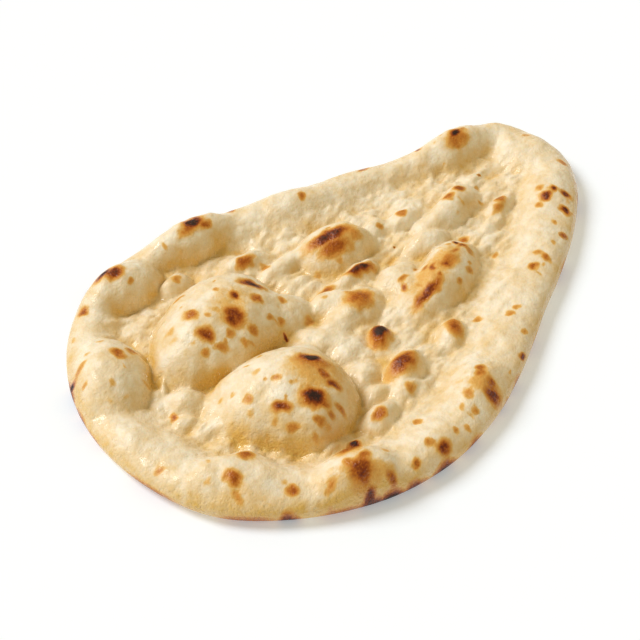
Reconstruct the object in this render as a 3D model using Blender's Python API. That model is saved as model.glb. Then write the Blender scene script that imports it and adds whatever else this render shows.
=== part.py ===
"""A teardrop naan bread: one piece of oven-baked flatbread, with a puffed rim and hollow blisters.

It lies on its flat underside, with its origin under its middle. The length runs along X, with the
narrow end at +X, the width runs along Y, and Z is up. The tables are in millimetres, apart from places,
which are shares of half the length and half the width. The mesh is in metres.
"""

import math

import bmesh
import bpy
import numpy as np
from mathutils import Vector, noise
from mathutils.geometry import delaunay_2d_cdt

MM = 0.001

# The loaf.
LENGTH = 270.0
WIDTH = 178.0
FLOOR_HEIGHT = 6.5
FLOOR_LUMP_SIZE = 13.0
FLOOR_LUMP_HEIGHT = 1.1
SKIN_LUMP_SIZE = 16.0
SKIN_LUMP_HEIGHT = 1.1

# The rounded edge, above and below its widest line.
EDGE_HEIGHT = 5.0
EDGE_ROUND_TOP = 11.0
EDGE_ROUND_BOTTOM = 7.0

# How full the rim's steep inner wall is, how sharply its swellings keep apart, how one form meets the
# next, and how far hand-stretched dough strays from a true ellipse.
RIM_ROUNDNESS = 0.62
RIM_SHARPNESS = 4.0
SWELLING_ROOT = 3.0
CREASE_WIDTH = 2.2
WARP_SIZE = 22.0
WARP_REACH = 2.2
FINE_WARP_SIZE = 8.0
FINE_WARP_REACH = 0.9

# The mesh.
SPACING = 3.7
TOP_EDGE_STEPS = 5
BOTTOM_EDGE_STEPS = 3
OUTLINE_SAMPLES = 960

# The edge of the loaf, anticlockwise from the narrow tip: where (along, across), height of the rim's crest,
# how far the crest lies from the edge, how far its inner slope reaches, and how steep that is from 0 to 1.
EDGE = (
    (1.00, 0.05, 11.5, 12, 22, 0.3), (0.965, 0.26, 12.0, 9, 14, 0.7), (0.845, 0.40, 13.0, 10, 12, 1.0),
    (0.69, 0.44, 12.0, 8, 12, 0.7), (0.545, 0.515, 11.0, 7, 14, 0.2), (0.41, 0.61, 11.5, 8, 18, 0.2),
    (0.27, 0.69, 12.0, 10, 20, 0.3), (0.14, 0.78, 12.0, 11, 20, 0.4), (0.00, 0.86, 12.0, 10, 15, 0.5),
    (-0.13, 0.94, 12.5, 10, 12, 0.9), (-0.31, 0.98, 12.5, 8, 11, 0.8), (-0.55, 0.97, 12.5, 9, 11, 0.8),
    (-0.77, 0.78, 12.0, 10, 14, 0.6), (-0.93, 0.46, 11.0, 11, 16, 0.3), (-1.00, 0.06, 12.0, 12, 24, 0.1),
    (-0.965, -0.38, 12.5, 13, 20, 0.2), (-0.81, -0.69, 12.5, 13, 18, 0.3), (-0.59, -0.91, 12.5, 13, 16, 0.5),
    (-0.36, -1.00, 12.0, 12, 24, 0.1), (-0.14, -0.985, 12.0, 12, 24, 0.1), (0.05, -0.91, 11.5, 11, 28, 0.0),
    (0.20, -0.825, 11.0, 11, 28, 0.0), (0.345, -0.735, 11.0, 11, 28, 0.0), (0.49, -0.655, 11.5, 11, 26, 0.0),
    (0.685, -0.525, 12.0, 12, 26, 0.1), (0.865, -0.355, 12.0, 12, 24, 0.1), (0.97, -0.17, 12.0, 12, 22, 0.3),
)

# Swellings of the rim: how full their walls are (less is fuller), where (along, across), length, width,
# height of the top, turn in degrees.
RIM_SWELLINGS = {
    "rear swelling": (0.55, -0.20, 0.85, 52, 25, 19.0, -14),
    "rear corner swelling": (0.55, -0.51, 0.86, 44, 28, 19.0, -12),
    "wide end swelling": (0.62, -0.80, 0.46, 46, 37, 20.5, 48),
    "wide end apron": (1.1, -0.93, 0.12, 42, 26, 12.0, 80),
    "front swelling": (0.9, -0.83, -0.38, 50, 32, 16.0, -50),
    "front corner swelling": (0.7, -0.60, -0.77, 44, 34, 18.5, -30),
    "front flank swelling": (0.9, -0.38, -0.90, 36, 28, 12.5, 0),
    "front shoulder swelling": (0.9, -0.11, -0.83, 42, 28, 14.5, 25),
    "narrow end rear swelling": (0.62, 0.73, 0.34, 48, 28, 17.0, -14),
    "narrow end pad": (1.1, 0.90, 0.02, 36, 46, 12.5, 0),
    "narrow end front swelling": (1.1, 0.80, -0.25, 40, 30, 13.0, 30),
    "rear flank swelling": (1.0, 0.16, 0.68, 54, 28, 13.5, -25),
}

# Blisters inside the rim. Each is a few ovals of dough, in the same terms, that flow into one another:
# how sharply they keep apart, how full their walls are, and the ovals.
BLISTERS = {
    "rear dome": (3.0, 0.52, (
        (-0.43, 0.31, 68, 50, 24.5, 6), (-0.55, 0.29, 42, 38, 17.0, 0),
        (-0.30, 0.19, 48, 28, 16.5, -16), (-0.32, 0.39, 38, 28, 18.0, 0),
    )),
    "front dome": (3.0, 0.56, (
        (-0.51, -0.24, 60, 52, 25.5, 125), (-0.60, -0.12, 40, 34, 14.0, -30), (-0.46, -0.34, 38, 36, 17.0, 0),
        (-0.43, -0.18, 44, 38, 17.5, 30),
    )),
    "long dome": (3.5, 0.66, (
        (0.24, -0.25, 50, 26, 17.5, 18), (0.11, -0.26, 36, 28, 13.0, 10), (0.12, -0.11, 30, 22, 11.5, 20),
    )),
    "middle dome": (3.0, 0.62, (
        (0.09, 0.28, 40, 27, 16.5, -12), (-0.07, 0.38, 36, 15, 11.0, -4), (0.15, 0.24, 26, 20, 12.5, -20),
    )),
    "slim dome": (4.0, 0.66, (
        (0.50, 0.03, 42, 19, 14.5, 3), (0.40, 0.05, 28, 16, 11.5, 0),
    )),
    "centre blister": (3.0, 0.75, (
        (-0.07, -0.07, 34, 26, 12.5, 10), (-0.11, 0.06, 26, 17, 11.5, -5), (-0.17, -0.09, 28, 20, 10.5, 0),
    )),
    "dark slip": (4.0, 0.8, ((0.075, 0.08, 24, 12, 11.5, -5), (0.01, 0.10, 20, 10, 9.5, -5))),
    "rear blister": (4.0, 0.75, ((-0.15, 0.54, 28, 15, 11.5, -5), (-0.24, 0.52, 18, 12, 10.0, 0))),
    "blister under the rear rim": (4.0, 0.75, ((-0.36, 0.68, 19, 15, 11.5, 0),)),
    "red blister": (4.0, 0.62, ((-0.17, -0.49, 25, 18, 13.5, 15), (-0.22, -0.57, 24, 14, 10.5, 20))),
    "burnt button": (4.0, 0.55, ((-0.115, -0.28, 13, 12, 12.0, 20), (-0.12, -0.29, 18, 16, 9.0, 0))),
    "oval blister": (4.0, 0.7, ((0.05, -0.51, 22, 13, 11.0, 22),)),
    "blister by the front rim": (4.0, 0.65, ((-0.37, -0.61, 22, 14, 11.5, 5),)),
    "narrow end blister": (4.0, 0.75, ((0.62, -0.14, 24, 12, 11.0, 5), (0.53, -0.19, 20, 10, 9.5, 10))),
    "saddle over the long dome": (4.0, 0.66, ((0.32, -0.03, 28, 16, 12.5, -12),)),
    "lump behind the saddle": (4.0, 0.75, ((0.36, 0.18, 26, 12, 10.5, -8), (0.27, 0.24, 18, 12, 9.5, 0))),
    "lump by the wide end": (4.0, 0.7, ((-0.70, 0.11, 21, 17, 12.0, -45), (-0.76, 0.03, 14, 12, 9.5, 0))),
    "lump between the domes": (3.0, 0.85, (
        (-0.24, -0.08, 34, 24, 10.0, -30), (-0.21, -0.22, 24, 16, 9.5, 0),
    )),
    "strands in the wide end valley": (4.0, 0.75, (
        (-0.675, 0.29, 24, 4.5, 10.0, 47), (-0.63, 0.34, 18, 4, 9.0, 58),
    )),
    "lumps beside the front dome": (4.0, 0.75, (
        (-0.27, -0.38, 22, 14, 10.0, 30), (-0.30, -0.50, 18, 12, 9.5, 0),
    )),
}


def clear_scene():
    """Removes what the open file holds."""
    for obj in list(bpy.data.objects):
        bpy.data.objects.remove(obj)


def place(along, across):
    """A place given as shares of half the length and half the width, in millimetres."""
    return np.array((along * LENGTH / 2, across * WIDTH / 2))


def closed_curve(points, count):
    """count rows on a smooth closed curve through the rows given (a uniform Catmull-Rom spline)."""
    corners = np.array(points)
    position = np.linspace(0, len(corners), count, endpoint=False)
    first = position.astype(int)
    t = (position - first)[:, None]
    before, start, end, after = (corners[(first + step) % len(corners)] for step in (-1, 0, 1, 2))
    return 0.5 * (
        2 * start
        + (end - before) * t
        + (2 * before - 5 * start + 4 * end - after) * t**2
        + (3 * (start - end) + after - before) * t**3
    )


def evenly_spaced(loop, count):
    """count rows at equal steps along a closed loop of rows, each of which starts with x and y."""
    closed = np.vstack((loop, loop[:1]))
    travelled = np.concatenate(([0], np.cumsum(np.linalg.norm(np.diff(closed[:, :2], axis=0), axis=1))))
    wanted = np.linspace(0, travelled[-1], count, endpoint=False)
    return np.stack([np.interp(wanted, travelled, column) for column in closed.T], axis=1)


def loop_length(loop):
    """The length of a closed loop of points."""
    return float(np.linalg.norm(loop - np.roll(loop, -1, axis=0), axis=1).sum())


def inward_normals(loop):
    """The unit vectors that point into an anticlockwise loop."""
    tangent = np.roll(loop, -1, axis=0) - np.roll(loop, 1, axis=0)
    normal = np.stack((-tangent[:, 1], tangent[:, 0]), axis=1)
    return normal / np.linalg.norm(normal, axis=1, keepdims=True)


def loaf_edge():
    """The rows of EDGE along the whole edge, whose outline is exactly LENGTH by WIDTH, round the origin."""
    loop = closed_curve(EDGE, OUTLINE_SAMPLES)
    low, high = loop[:, :2].min(axis=0), loop[:, :2].max(axis=0)
    loop[:, :2] = (loop[:, :2] - (low + high) / 2) * (LENGTH, WIDTH) / (high - low)
    return evenly_spaced(loop, OUTLINE_SAMPLES)


def nearest_edge(points, edge):
    """How far each point lies inside the edge, and the rim's crest, inset, reach and steepness there."""
    nearest = [np.linalg.norm(edge[:, :2] - point, axis=1).argmin() for point in points]
    depth = np.linalg.norm(edge[nearest, :2] - points, axis=1)
    return depth, edge[nearest, 2:].T


def waves(points, size, seed):
    """Smooth noise from about -1 to 1, one value for each point, with lumps of the given size."""
    return np.array([noise.noise(Vector((x / size, y / size, seed))) for x, y in points])


def soft_max(a, b, width):
    """The larger of two heights, with the crease between them rounded over the given width."""
    overlap = np.clip(1 - np.abs(a - b) / width, 0, 1)
    return np.maximum(a, b) + overlap**2 * width / 4


def flow_together(heights, sharpness):
    """Swellings of dough that flow into one another, as heights above their common root."""
    return (np.stack(heights) ** sharpness).sum(axis=0) ** (1 / sharpness)


def smooth_step(low, high, values):
    """0 below low, 1 above high, and an S-curve between."""
    t = np.clip((values - low) / (high - low), 0, 1)
    return t * t * (3 - 2 * t)


def oval(points, roundness, along, across, length, width, top, turn):
    """The height of one oval dome of dough over the root of all swellings, which lies below the floor."""
    angle = math.radians(turn)
    offset = points - place(along, across)
    u = (offset[:, 0] * math.cos(angle) + offset[:, 1] * math.sin(angle)) / (length / 2)
    v = (offset[:, 1] * math.cos(angle) - offset[:, 0] * math.sin(angle)) / (width / 2)
    return (top - FLOOR_HEIGHT + SWELLING_ROOT) * np.clip(1 - u**2 - v**2, 0, 1) ** roundness


def blister(points, sharpness, roundness, ovals):
    """The height of a blister made of a few ovals that flow into one another."""
    parts = [oval(points, roundness, *measures) for measures in ovals]
    return FLOOR_HEIGHT - SWELLING_ROOT + flow_together(parts, sharpness)


def rim(warped, nearest):
    """The height of the roll of dough round the edge, with its swellings."""
    depth, (crest, inset, reach, steepness) = nearest
    inner = np.clip((depth - inset) / reach, 0, 1)
    steep = (1 - inner**2) ** RIM_ROUNDNESS
    gentle = 1 - smooth_step(0, 1, inner)
    root = FLOOR_HEIGHT - SWELLING_ROOT
    roll = (crest - root) * (steepness * steep + (1 - steepness) * gentle)
    swellings = [oval(warped, *measures) for measures in RIM_SWELLINGS.values()]
    return root + flow_together([roll, *swellings], RIM_SHARPNESS)


def top_height(points, nearest):
    """The height of the upper surface, before the edge rounds it off."""
    warp = np.stack([waves(points, WARP_SIZE, seed) for seed in (7.0, 11.0)], axis=1)
    fine = np.stack([waves(points, FINE_WARP_SIZE, seed) for seed in (8.0, 12.0)], axis=1)
    warped = points + WARP_REACH * warp + FINE_WARP_REACH * fine
    height = FLOOR_HEIGHT + FLOOR_LUMP_HEIGHT * waves(points, FLOOR_LUMP_SIZE, 5.0)
    height = soft_max(height, rim(warped, nearest), CREASE_WIDTH)
    for measures in BLISTERS.values():
        height = soft_max(height, blister(warped, *measures), CREASE_WIDTH)
    return height + SKIN_LUMP_HEIGHT * waves(points, SKIN_LUMP_SIZE, 31.0)


def upper_surface(points, edge):
    """Points on the upper surface, which curves down to the widest line at the outline."""
    nearest = nearest_edge(points, edge)
    fullness = np.sqrt(1 - (1 - np.clip(nearest[0] / EDGE_ROUND_TOP, 0, 1)) ** 2)
    height = EDGE_HEIGHT + (top_height(points, nearest) - EDGE_HEIGHT) * fullness
    return np.column_stack((points, height))


def edge_loop(outline, reach, angle):
    """The outline moved in along a quarter ellipse of the given reach, by an angle from its widest line."""
    return outline + inward_normals(outline) * reach * (1 - math.cos(angle))


def grid_inside(outline, spacing):
    """Points in staggered rows over the inside of a closed loop."""
    low, high = outline.min(axis=0), outline.max(axis=0)
    row_step = spacing * math.sqrt(3) / 2
    rows = []
    for row, y in enumerate(np.arange(low[1], high[1], row_step)):
        start = low[0] + (row % 2) * spacing / 2
        xs = np.arange(start, high[0], spacing)
        rows.append(np.column_stack((xs, np.full(len(xs), y))))
    grid = np.vstack(rows)
    ahead = np.roll(outline, -1, axis=0)
    crossings = np.zeros(len(grid), int)
    for (x1, y1), (x2, y2) in zip(outline, ahead):
        if y1 == y2:
            continue
        spans = (grid[:, 1] > min(y1, y2)) & (grid[:, 1] <= max(y1, y2))
        crossings += spans & (grid[:, 0] < x1 + (grid[:, 1] - y1) * (x2 - x1) / (y2 - y1))
    return grid[crossings % 2 == 1]


def add_loop(mesh, points):
    """Adds a loop of vertices to the mesh, from points in millimetres."""
    return [mesh.verts.new(Vector(point) * MM) for point in points]


def bridge(mesh, lower, upper):
    """Joins two loops of equal length with a band of faces that looks outwards."""
    for k, corner in enumerate(lower):
        following = (k + 1) % len(lower)
        mesh.faces.new((corner, lower[following], upper[following], upper[k]))


def fill_top(mesh, loop, loop_points, inner_points):
    """Closes the upper surface inside a loop with triangles through the inner points."""
    flat = [Vector(point[:2]) for point in np.vstack((loop_points, inner_points))]
    rim_edges = [(k, (k + 1) % len(loop)) for k in range(len(loop))]
    _, _, triangles, *_ = delaunay_2d_cdt(flat, rim_edges, [], 1, 1e-6)
    corners = loop + add_loop(mesh, inner_points)
    for triangle in triangles:
        mesh.faces.new([corners[index] for index in triangle])


def loaf_mesh():
    """The closed mesh of the whole loaf: flat underside, rounded edge and blistered top."""
    edge = loaf_edge()
    around = round(loop_length(edge[:, :2]) / SPACING)
    outline = evenly_spaced(edge[:, :2], around)
    mesh = bmesh.new()

    loops = []
    for step in range(BOTTOM_EDGE_STEPS, 0, -1):
        angle = math.pi / 2 * step / BOTTOM_EDGE_STEPS
        height = EDGE_HEIGHT * (1 - math.sin(angle))
        flat = edge_loop(outline, EDGE_ROUND_BOTTOM, angle)
        loops.append(np.column_stack((flat, np.full(around, height))))
    loops.append(np.column_stack((outline, np.full(around, EDGE_HEIGHT))))
    for step in range(1, TOP_EDGE_STEPS + 1):
        angle = math.pi / 2 * step / TOP_EDGE_STEPS
        loops.append(upper_surface(edge_loop(outline, EDGE_ROUND_TOP, angle), edge))

    rings = [add_loop(mesh, loop) for loop in loops]
    mesh.faces.new(list(reversed(rings[0])))
    for lower, upper in zip(rings, rings[1:]):
        bridge(mesh, lower, upper)
    inner = grid_inside(outline, SPACING)
    depth, _ = nearest_edge(inner, edge)
    inner = inner[depth > EDGE_ROUND_TOP + SPACING / 2]
    fill_top(mesh, rings[-1], loops[-1], upper_surface(inner, edge))
    bmesh.ops.triangulate(mesh, faces=[face for face in mesh.faces if len(face.verts) > 3])
    return mesh


def crust_material():
    """Pale, faintly oiled baked dough."""
    material = bpy.data.materials.new("crust")
    material.use_nodes = True
    shader = material.node_tree.nodes["Principled BSDF"]
    shader.inputs["Base Color"].default_value = (0.86, 0.70, 0.44, 1.0)
    shader.inputs["Roughness"].default_value = 0.5
    shader.inputs["Metallic"].default_value = 0.0
    return material


def build_naan():
    """The loaf as one object that lies on z = 0."""
    shape = loaf_mesh()
    data = bpy.data.meshes.new("naan")
    shape.to_mesh(data)
    shape.free()
    data.shade_smooth()
    data.materials.append(crust_material())
    naan = bpy.data.objects.new("naan", data)
    bpy.context.scene.collection.objects.link(naan)


clear_scene()
build_naan()
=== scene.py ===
"""A teardrop naan bread on a pale floor, under soft studio light.

The loaf is one piece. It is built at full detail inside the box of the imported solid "naan", which it
stands for, and its crust is one procedural material. Lengths are in metres, apart from the tables, which
are in millimetres; places in the tables are shares of half the loaf's length and half its width.
"""

import math

import bmesh
import bpy
import numpy as np
from bpy.props import FloatProperty, FloatVectorProperty, PointerProperty
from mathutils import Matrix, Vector, kdtree, noise
from mathutils.geometry import delaunay_2d_cdt


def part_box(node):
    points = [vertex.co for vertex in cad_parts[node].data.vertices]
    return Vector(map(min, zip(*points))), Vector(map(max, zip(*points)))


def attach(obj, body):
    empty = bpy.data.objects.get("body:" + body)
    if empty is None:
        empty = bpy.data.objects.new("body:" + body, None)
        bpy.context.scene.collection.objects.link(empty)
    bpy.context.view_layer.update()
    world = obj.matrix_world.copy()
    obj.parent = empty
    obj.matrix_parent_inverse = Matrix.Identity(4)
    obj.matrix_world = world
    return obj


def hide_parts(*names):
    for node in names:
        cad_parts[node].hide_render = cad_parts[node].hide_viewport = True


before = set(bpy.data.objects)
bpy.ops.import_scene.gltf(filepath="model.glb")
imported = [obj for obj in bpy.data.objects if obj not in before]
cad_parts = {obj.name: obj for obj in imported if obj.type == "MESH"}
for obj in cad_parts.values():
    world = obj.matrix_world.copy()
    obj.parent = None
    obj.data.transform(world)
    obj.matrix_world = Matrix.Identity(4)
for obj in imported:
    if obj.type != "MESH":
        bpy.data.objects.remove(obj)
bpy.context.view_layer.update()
LOAF_LOW, LOAF_HIGH = (np.array(corner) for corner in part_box("naan"))
LENGTH, WIDTH = (float(side) for side in (LOAF_HIGH - LOAF_LOW)[:2])
MIDDLE = (LOAF_LOW[:2] + LOAF_HIGH[:2]) / 2
BASE = float(LOAF_LOW[2])

bl_info = {
    "name": "Naan bread",
    "version": (1, 0, 0),
    "blender": (4, 5, 0),
    "location": "View3D > Sidebar > Naan",
    "description": "Builds a blistered teardrop naan bread and a plain studio to show it in",
    "category": "Add Mesh",
}

MM = 0.001

# The edge of the loaf, anticlockwise from the narrow tip: where (along, across), height of the rim's crest,
# how far the crest lies from the edge, how far its inner slope reaches, and how steep that is from 0 to 1.
EDGE = (
    (1.00, 0.05, 11.5, 12, 22, 0.3), (0.965, 0.26, 12.0, 9, 14, 0.7), (0.845, 0.40, 13.0, 10, 12, 1.0),
    (0.69, 0.44, 12.0, 8, 12, 0.7), (0.545, 0.515, 11.0, 7, 14, 0.2), (0.41, 0.61, 11.5, 8, 18, 0.2),
    (0.27, 0.69, 12.0, 10, 20, 0.3), (0.14, 0.78, 12.0, 11, 20, 0.4), (0.00, 0.86, 12.0, 10, 15, 0.5),
    (-0.13, 0.94, 12.5, 10, 12, 0.9), (-0.31, 0.98, 12.5, 8, 11, 0.8), (-0.55, 0.97, 12.5, 9, 11, 0.8),
    (-0.77, 0.78, 12.0, 10, 14, 0.6), (-0.93, 0.46, 11.0, 11, 16, 0.3), (-1.00, 0.06, 12.0, 12, 24, 0.1),
    (-0.965, -0.38, 12.5, 13, 20, 0.2), (-0.81, -0.69, 12.5, 13, 18, 0.3), (-0.59, -0.91, 12.5, 13, 16, 0.5),
    (-0.36, -1.00, 12.0, 12, 24, 0.1), (-0.14, -0.985, 12.0, 12, 24, 0.1), (0.05, -0.91, 11.5, 11, 28, 0.0),
    (0.20, -0.825, 11.0, 11, 28, 0.0), (0.345, -0.735, 11.0, 11, 28, 0.0), (0.49, -0.655, 11.5, 11, 26, 0.0),
    (0.685, -0.525, 12.0, 12, 26, 0.1), (0.865, -0.355, 12.0, 12, 24, 0.1), (0.97, -0.17, 12.0, 12, 22, 0.3),
)

# Swellings of the rim: how full their walls are (less is fuller), where (along, across), length, width,
# height of the top, turn in degrees.
RIM_SWELLINGS = {
    "rear swelling": (0.55, -0.20, 0.85, 52, 25, 19.0, -14),
    "rear corner swelling": (0.55, -0.51, 0.86, 44, 28, 19.0, -12),
    "wide end swelling": (0.62, -0.80, 0.46, 46, 37, 20.5, 48),
    "wide end apron": (1.1, -0.93, 0.12, 42, 26, 12.0, 80),
    "front swelling": (0.9, -0.83, -0.38, 50, 32, 16.0, -50),
    "front corner swelling": (0.7, -0.60, -0.77, 44, 34, 18.5, -30),
    "front flank swelling": (0.9, -0.38, -0.90, 36, 28, 12.5, 0),
    "front shoulder swelling": (0.9, -0.11, -0.83, 42, 28, 14.5, 25),
    "narrow end rear swelling": (0.62, 0.73, 0.34, 48, 28, 17.0, -14),
    "narrow end pad": (1.1, 0.90, 0.02, 36, 46, 12.5, 0),
    "narrow end front swelling": (1.1, 0.80, -0.25, 40, 30, 13.0, 30),
    "rear flank swelling": (1.0, 0.16, 0.68, 54, 28, 13.5, -25),
}

# Blisters inside the rim. Each is a few ovals of dough, in the same terms, that flow into one another:
# how sharply they keep apart, how full its walls are (less is fuller), and the ovals.
BLISTERS = {
    "rear dome": (3.0, 0.52, (
        (-0.43, 0.31, 68, 50, 24.5, 6), (-0.55, 0.29, 42, 38, 17.0, 0),
        (-0.30, 0.19, 48, 28, 16.5, -16), (-0.32, 0.39, 38, 28, 18.0, 0),
    )),
    "front dome": (3.0, 0.56, (
        (-0.51, -0.24, 60, 52, 25.5, 125), (-0.60, -0.12, 40, 34, 14.0, -30), (-0.46, -0.34, 38, 36, 17.0, 0),
        (-0.43, -0.18, 44, 38, 17.5, 30),
    )),
    "long dome": (3.5, 0.66, (
        (0.24, -0.25, 50, 26, 17.5, 18), (0.11, -0.26, 36, 28, 13.0, 10), (0.12, -0.11, 30, 22, 11.5, 20),
    )),
    "middle dome": (3.0, 0.62, (
        (0.09, 0.28, 40, 27, 16.5, -12), (-0.07, 0.38, 36, 15, 11.0, -4), (0.15, 0.24, 26, 20, 12.5, -20),
    )),
    "slim dome": (4.0, 0.66, (
        (0.50, 0.03, 42, 19, 14.5, 3), (0.40, 0.05, 28, 16, 11.5, 0),
    )),
    "centre blister": (3.0, 0.75, (
        (-0.07, -0.07, 34, 26, 12.5, 10), (-0.11, 0.06, 26, 17, 11.5, -5), (-0.17, -0.09, 28, 20, 10.5, 0),
    )),
    "dark slip": (4.0, 0.8, ((0.075, 0.08, 24, 12, 11.5, -5), (0.01, 0.10, 20, 10, 9.5, -5))),
    "rear blister": (4.0, 0.75, ((-0.15, 0.54, 28, 15, 11.5, -5), (-0.24, 0.52, 18, 12, 10.0, 0))),
    "blister under the rear rim": (4.0, 0.75, ((-0.36, 0.68, 19, 15, 11.5, 0),)),
    "red blister": (4.0, 0.62, ((-0.17, -0.49, 25, 18, 13.5, 15), (-0.22, -0.57, 24, 14, 10.5, 20))),
    "burnt button": (4.0, 0.55, ((-0.115, -0.28, 13, 12, 12.0, 20), (-0.12, -0.29, 18, 16, 9.0, 0))),
    "oval blister": (4.0, 0.7, ((0.05, -0.51, 22, 13, 11.0, 22),)),
    "blister by the front rim": (4.0, 0.65, ((-0.37, -0.61, 22, 14, 11.5, 5),)),
    "narrow end blister": (4.0, 0.75, ((0.62, -0.14, 24, 12, 11.0, 5), (0.53, -0.19, 20, 10, 9.5, 10))),
    "saddle over the long dome": (4.0, 0.66, ((0.32, -0.03, 28, 16, 12.5, -12),)),
    "lump behind the saddle": (4.0, 0.75, ((0.36, 0.18, 26, 12, 10.5, -8), (0.27, 0.24, 18, 12, 9.5, 0))),
    "lump by the wide end": (4.0, 0.7, ((-0.70, 0.11, 21, 17, 12.0, -45), (-0.76, 0.03, 14, 12, 9.5, 0))),
    "lump between the domes": (3.0, 0.85, (
        (-0.24, -0.08, 34, 24, 10.0, -30), (-0.21, -0.22, 24, 16, 9.5, 0),
    )),
    "strands in the wide end valley": (4.0, 0.75, (
        (-0.675, 0.29, 24, 4.5, 10.0, 47), (-0.63, 0.34, 18, 4, 9.0, 58),
    )),
    "lumps beside the front dome": (4.0, 0.75, (
        (-0.27, -0.38, 22, 14, 10.0, 30), (-0.30, -0.50, 18, 12, 9.5, 0),
    )),
}

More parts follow.
